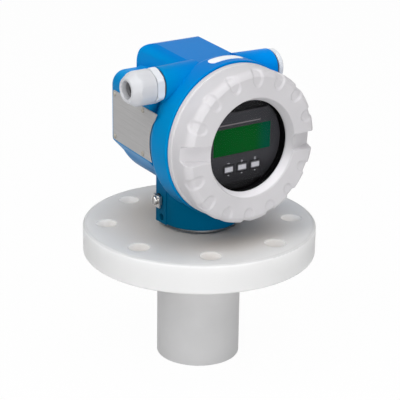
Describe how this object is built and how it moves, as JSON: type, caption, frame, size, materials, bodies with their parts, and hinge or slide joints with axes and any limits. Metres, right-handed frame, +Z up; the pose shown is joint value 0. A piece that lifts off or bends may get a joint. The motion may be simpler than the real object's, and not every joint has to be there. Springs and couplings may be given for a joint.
{
  "type": "ultrasonic level transmitter",
  "caption": "Ultrasonic level transmitter: swivelling blue housing with a screwed window cover, display and keys, cable gland, plastic flange and sensor below.",
  "frame": {"origin": "centre of the flange's lower sealing face", "axes": "+Z up along the sensor and swivel axis, -Y out of the display cover, +X to the display's right"},
  "size_m": [0.2, 0.2, 0.2733],
  "materials": {
    "blue_casting": "gloss",
    "pale_casting": "satin",
    "white_plastic": "satin",
    "grey_plastic": "satin",
    "dark_plastic": "satin",
    "black_plastic": "matte",
    "key_plastic": "satin",
    "lcd_green": "satin",
    "window_glass": "gloss",
    "rubber": "matte",
    "steel": "satin",
    "plate_metal": "satin",
    "label_film": "gloss",
    "piezo_ceramic": "matte",
    "foam": "matte",
    "resin": "satin",
    "terminal_plastic": "satin",
    "brass": "satin"
  },
  "bodies": {
    "process": {"flange": "white_plastic", "sensor_gasket": "rubber", "lock_nut": "white_plastic", "sensor_housing": "grey_plastic", "matching_layer": "resin", "piezo_disc": "piezo_ceramic", "damping_foam": "foam", "temperature_probe": "brass", "sensor_potting": "resin", "sensor_lead": "rubber", "sensor_connector": "black_plastic", "swivel_spindle": "pale_casting", "neck_seals": "rubber", "spindle_clip": "steel"},
    "housing": {"housing": "blue_casting", "nameplate": "plate_metal", "nameplate_pins": "steel", "top_label": "label_film", "ground_washer": "steel", "ground_clamp": "steel", "ground_screw": "steel", "swivel_lock_screw": "steel", "display_plate": "dark_plastic", "display_case": "black_plastic", "lcd_panel": "lcd_green", "display_frame": "black_plastic", "electronics_module": "black_plastic", "electronics_screws": "steel", "terminal_block": "terminal_plastic", "terminal_screws": "steel", "gland_body": "white_plastic", "gland_seal": "rubber"},
    "cover_seal": {"cover_seal": "rubber"},
    "cover": {"display_cover": "pale_casting", "cover_window": "window_glass", "window_seal": "rubber", "window_retainer": "pale_casting"},
    "gland_insert": {"gland_insert": "rubber"},
    "gland_nut": {"gland_nut": "white_plastic"},
    "plug_seal": {"plug_seal": "rubber"},
    "blanking_plug": {"blanking_plug": "white_plastic"},
    "key_minus": {"key_minus": "key_plastic"},
    "key_plus": {"key_plus": "key_plastic"},
    "key_enter": {"key_enter": "key_plastic"}
  },
  "joints": [
    {"name": "housing_swivel", "type": "hinge", "parent": "process", "child": "housing", "pos_m": [0, 0, 0.045], "axis": [0, 0, 1], "range_deg": [-175, 175]},
    {"name": "cover_travel", "type": "slide", "parent": "housing", "child": "cover_seal", "axis": [0, -1, 0], "range_m": [0, 0.008]},
    {"name": "cover_turn", "type": "hinge", "parent": "cover_seal", "child": "cover", "pos_m": [0, -0.046, 0.112], "axis": [0, -1, 0], "range_deg": [0, 1440]},
    {"name": "gland_nut_travel", "type": "slide", "parent": "housing", "child": "gland_insert", "axis": [-1, 0, 0], "range_m": [0, 0.0045]},
    {"name": "gland_nut_turn", "type": "hinge", "parent": "gland_insert", "child": "gland_nut", "pos_m": [-0.07, -0.018, 0.16], "axis": [-1, 0, 0], "range_deg": [0, 1080]},
    {"name": "blanking_plug_travel", "type": "slide", "parent": "housing", "child": "plug_seal", "axis": [1, 0, 0], "range_m": [0, 0.0075]},
    {"name": "blanking_plug_turn", "type": "hinge", "parent": "plug_seal", "child": "blanking_plug", "pos_m": [0.058, -0.018, 0.16], "axis": [1, 0, 0], "range_deg": [0, 1800]},
    {"name": "key_minus_press", "type": "slide", "parent": "housing", "child": "key_minus", "axis": [0, 1, 0], "range_m": [0, 0.0008], "stiffness_N_per_m": 800},
    {"name": "key_plus_press", "type": "slide", "parent": "housing", "child": "key_plus", "axis": [0, 1, 0], "range_m": [0, 0.0008], "stiffness_N_per_m": 800},
    {"name": "key_enter_press", "type": "slide", "parent": "housing", "child": "key_enter", "axis": [0, 1, 0], "range_m": [0, 0.0008], "stiffness_N_per_m": 800}
  ],
  "couplings": [
    {"joint": "cover_travel", "follows": "cover_turn", "m_per_rad": 0.00031831},
    {"joint": "gland_nut_travel", "follows": "gland_nut_turn", "m_per_rad": 0.00023873},
    {"joint": "blanking_plug_travel", "follows": "blanking_plug_turn", "m_per_rad": 0.00023873}
  ]
}
